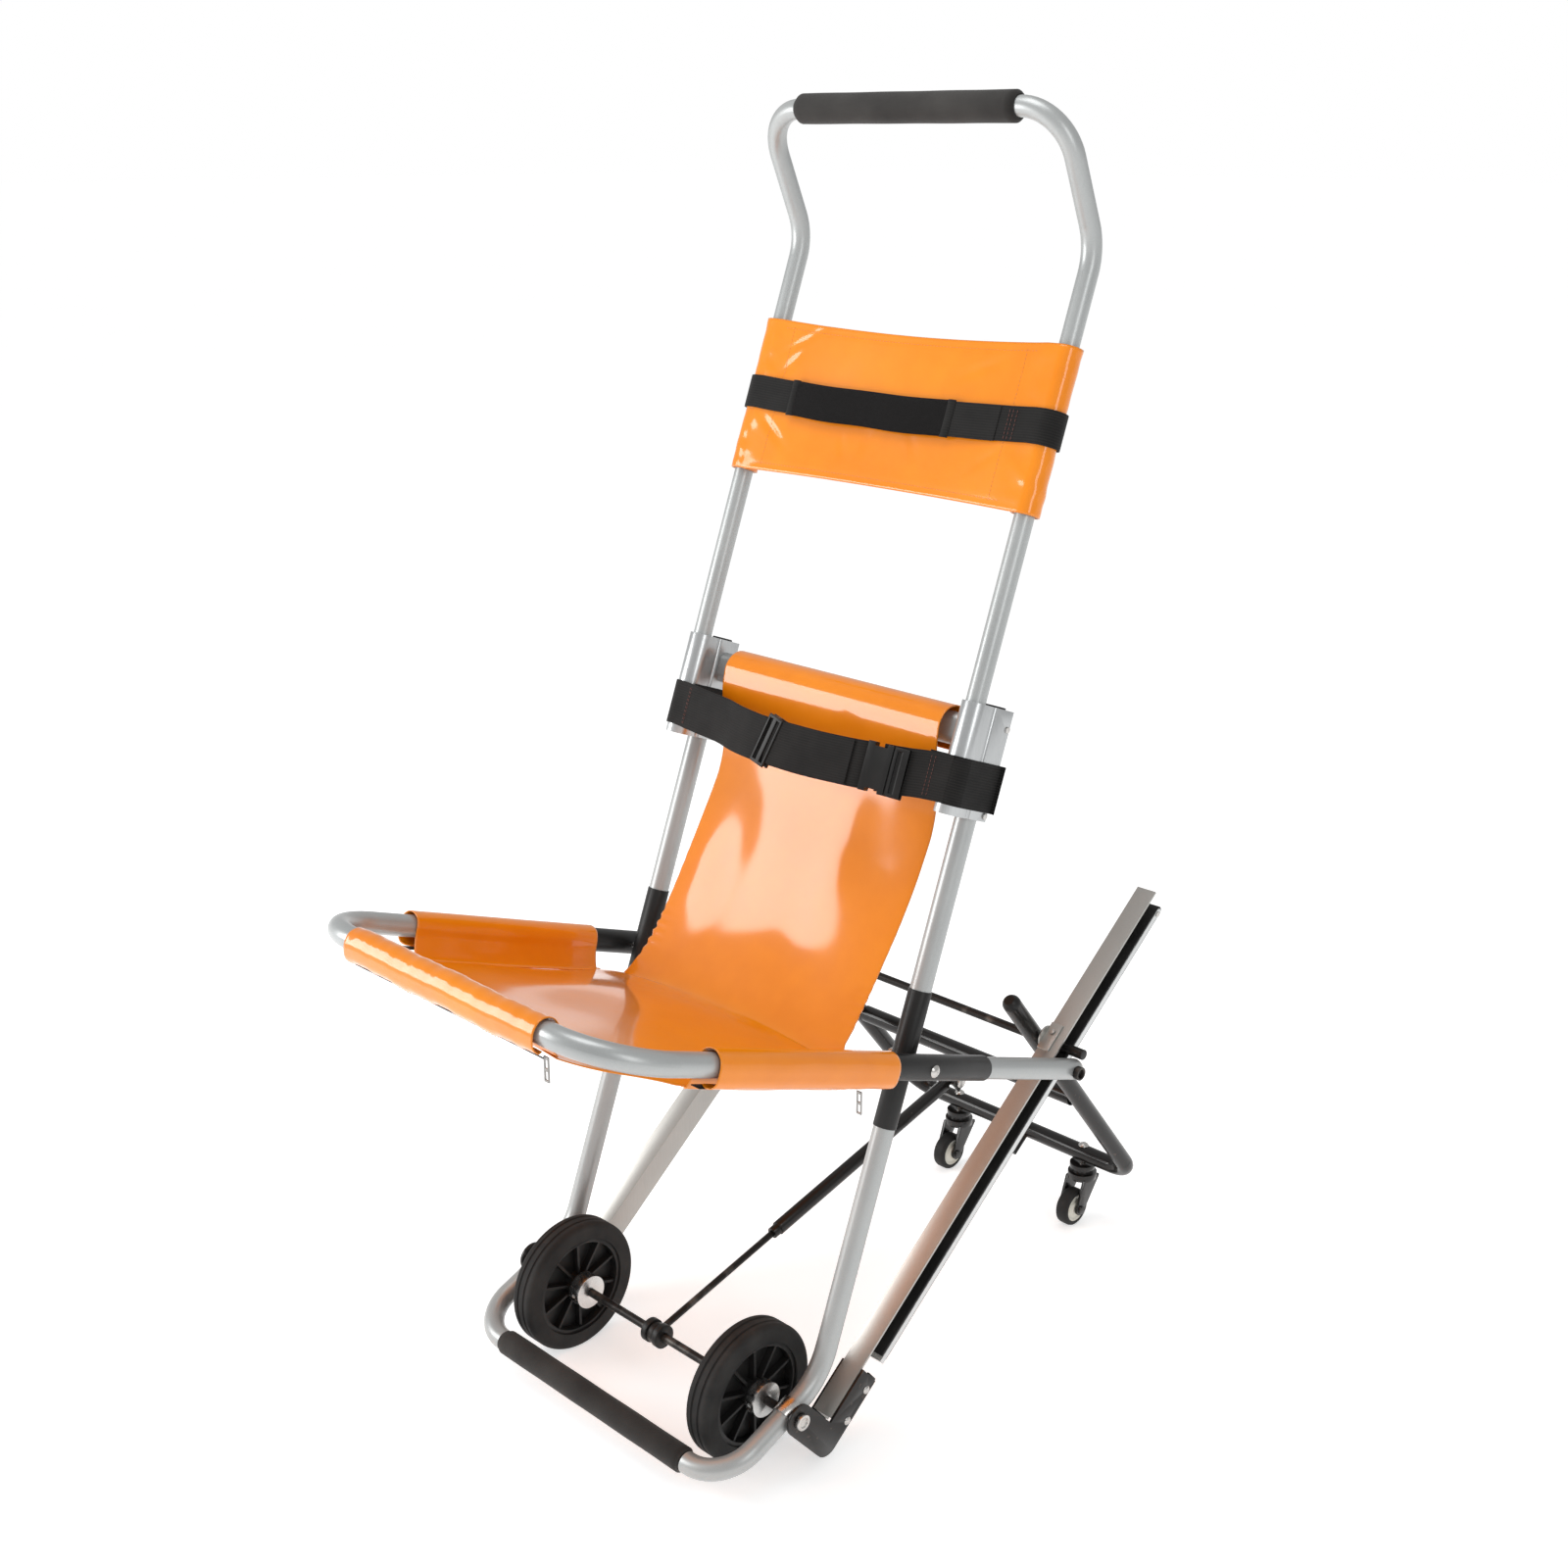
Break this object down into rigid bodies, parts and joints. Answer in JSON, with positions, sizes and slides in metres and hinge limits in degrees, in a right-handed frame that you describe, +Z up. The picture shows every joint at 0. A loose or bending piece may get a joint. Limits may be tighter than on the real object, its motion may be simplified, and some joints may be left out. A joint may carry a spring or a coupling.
{
  "type": "folding stair chair",
  "caption": "Folding evacuation stair chair: silver tube frame, orange sling seat and back band, telescoping push handle, main wheels, glide tracks and a fold-out castor frame.",
  "frame": {"origin": "on the floor, midway between the sides and midway between the front bar and the rear tips of the tracks", "axes": "+Z up, -Y the way the sitter faces, +X the sitter's left"},
  "size_m": [0.525, 0.9538, 1.4246],
  "materials": {
    "silver_tube": "satin silver powder coat on steel tube",
    "black_plastic": "moulded black plastic, slightly textured",
    "foam_grip": "closed-cell foam, matt",
    "cast_alloy": "satin extruded alloy",
    "plated_steel": "zinc-plated steel",
    "dark_steel": "black oxide steel",
    "turned_alloy": "turned alloy with fine rings",
    "black_webbing": "woven polyester webbing",
    "orange_vinyl": "coated fabric with a glossy vinyl face",
    "hook_and_loop": "fuzzy loop tape",
    "zip_tape": "zip tape with coil teeth",
    "track_extrusion": "anodised extrusion",
    "belt_rubber": "smooth friction belt",
    "black_painted_steel": "semi-gloss black paint",
    "castor_steel": "gloss black pressed steel",
    "castor_tread": "cream hub in a black tread",
    "tyre_rubber": "solid black tyre"
  },
  "bodies": {
    "main_frame": {"leg_tube": "silver_tube", "leg_sleeves": "black_plastic", "foot_grip": "foam_grip", "block_left": "cast_alloy", "block_right": "cast_alloy", "block_screws": "plated_steel", "leg_caps": "black_plastic", "crossbar": "silver_tube", "axle": "dark_steel", "wheel_collars": "turned_alloy", "axle_nuts": "plated_steel", "axle_saddles": "plated_steel", "strut_collar": "black_plastic", "seat_pivot_bolts": "plated_steel", "waist_belt_left": "black_webbing", "waist_belt_right": "black_webbing", "belt_slider": "black_plastic", "buckle_socket": "black_plastic", "buckle_prong": "black_plastic", "sling_back": "orange_vinyl"},
    "handle": {"handle_tube": "silver_tube", "handle_grip": "foam_grip", "handle_plugs": "black_plastic", "back_band": "orange_vinyl", "head_strap": "black_webbing", "strap_patch": "hook_and_loop"},
    "seat": {"seat_tube": "silver_tube", "rail_sleeves": "black_plastic", "rail_caps": "plated_steel", "rail_pins": "dark_steel", "sling_seat": "orange_vinyl", "zips": "zip_tape", "zip_pulls": "plated_steel"},
    "tracks": {"track_left": "track_extrusion", "track_right": "track_extrusion", "guide_bars": "track_extrusion", "track_belts": "belt_rubber", "track_brackets": "black_painted_steel", "bracket_screws": "plated_steel", "pivot_tabs": "track_extrusion", "castor_pivot_bar": "dark_steel", "bar_caps": "black_plastic"},
    "castor_carriage": {"castor_frame": "black_painted_steel", "cross_tube": "black_painted_steel", "strut_bracket": "black_painted_steel", "strut_bolt": "plated_steel", "castor_arm_caps": "black_plastic", "pedal": "black_painted_steel", "castor_bolts": "plated_steel"},
    "castor_swivel_left": {"castor_fork_left": "castor_steel"},
    "castor_swivel_right": {"castor_fork_right": "castor_steel"},
    "castor_roller_left": {"castor_wheel_left": "castor_tread"},
    "castor_roller_right": {"castor_wheel_right": "castor_tread"},
    "strut_inner": {"strut_rod": "dark_steel"},
    "strut_outer": {"strut_cylinder": "black_painted_steel"},
    "wheel_left": {"tyre_left": "tyre_rubber", "rim_left": "black_plastic"},
    "wheel_right": {"tyre_right": "tyre_rubber", "rim_right": "black_plastic"}
  },
  "joints": [
    {"name": "handle_slide", "type": "slide", "parent": "main_frame", "child": "handle", "axis": [0, 0.3518, 0.9361], "range_m": [-0.19, 0]},
    {"name": "seat_fold", "type": "hinge", "parent": "main_frame", "child": "seat", "pos_m": [0, -0.0283, 0.4392], "axis": [-1, 0, 0], "range_deg": [0, 72]},
    {"name": "track_fold", "type": "hinge", "parent": "main_frame", "child": "tracks", "pos_m": [0, -0.2025, 0.08], "axis": [1, 0, 0], "range_deg": [0, 29.3]},
    {"name": "castor_frame_fold", "type": "hinge", "parent": "tracks", "child": "castor_carriage", "pos_m": [0, 0.24715, 0.36091], "axis": [-1, 0, 0], "range_deg": [0, 90.1]},
    {"name": "strut_swing", "type": "hinge", "parent": "main_frame", "child": "strut_inner", "pos_m": [0, -0.2025, 0.08], "axis": [1, 0, 0], "range_deg": [0, 48.7]},
    {"name": "strut_slide", "type": "slide", "parent": "strut_inner", "child": "strut_outer", "axis": [0, 0.9646, 0.2637], "range_m": [-0.1605, 0]},
    {"name": "wheel_spin_left", "type": "hinge", "parent": "main_frame", "child": "wheel_left", "pos_m": [0.15, -0.2025, 0.08], "axis": [1, 0, 0], "continuous": true},
    {"name": "castor_swivel_turn_left", "type": "hinge", "parent": "castor_carriage", "child": "castor_swivel_left", "pos_m": [0.107, 0.45736, 0.06], "axis": [0, 0, 1], "continuous": true},
    {"name": "castor_roll_left", "type": "hinge", "parent": "castor_swivel_left", "child": "castor_roller_left", "pos_m": [0.107, 0.43736, 0.025], "axis": [1, 0, 0], "continuous": true},
    {"name": "wheel_spin_right", "type": "hinge", "parent": "main_frame", "child": "wheel_right", "pos_m": [-0.15, -0.2025, 0.08], "axis": [1, 0, 0], "continuous": true},
    {"name": "castor_swivel_turn_right", "type": "hinge", "parent": "castor_carriage", "child": "castor_swivel_right", "pos_m": [-0.107, 0.45736, 0.06], "axis": [0, 0, 1], "continuous": true},
    {"name": "castor_roll_right", "type": "hinge", "parent": "castor_swivel_right", "child": "castor_roller_right", "pos_m": [-0.107, 0.43736, 0.025], "axis": [1, 0, 0], "continuous": true}
  ],
  "couplings": [
    {"joint": "track_fold", "follows": "seat_fold", "ratio": 0.40556},
    {"joint": "castor_frame_fold", "follows": "seat_fold", "ratio": 1.25},
    {"joint": "strut_swing", "follows": "seat_fold", "ratio": 0.675},
    {"joint": "strut_slide", "follows": "seat_fold", "m_per_rad": -0.12732}
  ]
}
